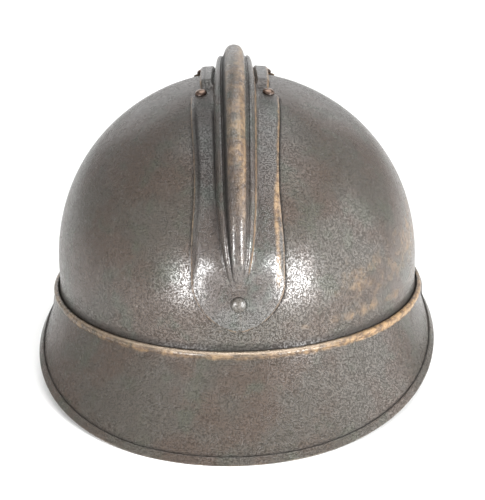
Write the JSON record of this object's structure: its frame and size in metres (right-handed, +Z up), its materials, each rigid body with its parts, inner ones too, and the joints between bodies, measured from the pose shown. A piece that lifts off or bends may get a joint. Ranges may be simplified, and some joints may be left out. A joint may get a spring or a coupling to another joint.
{
  "type": "pressed steel combat helmet with a ridged crest",
  "caption": "Pressed steel helmet shell: domed skull, flared neck guard and visor clamped by a bead round its base, and a ridged crest riveted over a vent.",
  "frame": {"origin": "on the surface that the brim rests on, under the middle of the whole helmet's box", "axes": "+Z up, +Y towards the rear (neck guard), -Y towards the front (visor), +X to the wearer's left"},
  "size_m": [0.2148, 0.2836, 0.1621],
  "materials": {
    "worn_paint": "old brown-grey paint over steel, satin, worn and lightly rusted",
    "rivet_steel": "worn rivet steel with traces of paint and rust"
  },
  "bodies": {
    "root": {"skull": "worn_paint", "neck_guard": "worn_paint", "visor": "worn_paint", "crest": "worn_paint", "rivet_rear": "rivet_steel", "rivet_front": "rivet_steel", "rivet_top_rear_left": "rivet_steel", "rivet_top_rear_right": "rivet_steel", "rivet_top_front_left": "rivet_steel", "rivet_top_front_right": "rivet_steel"}
  },
  "joints": []
}
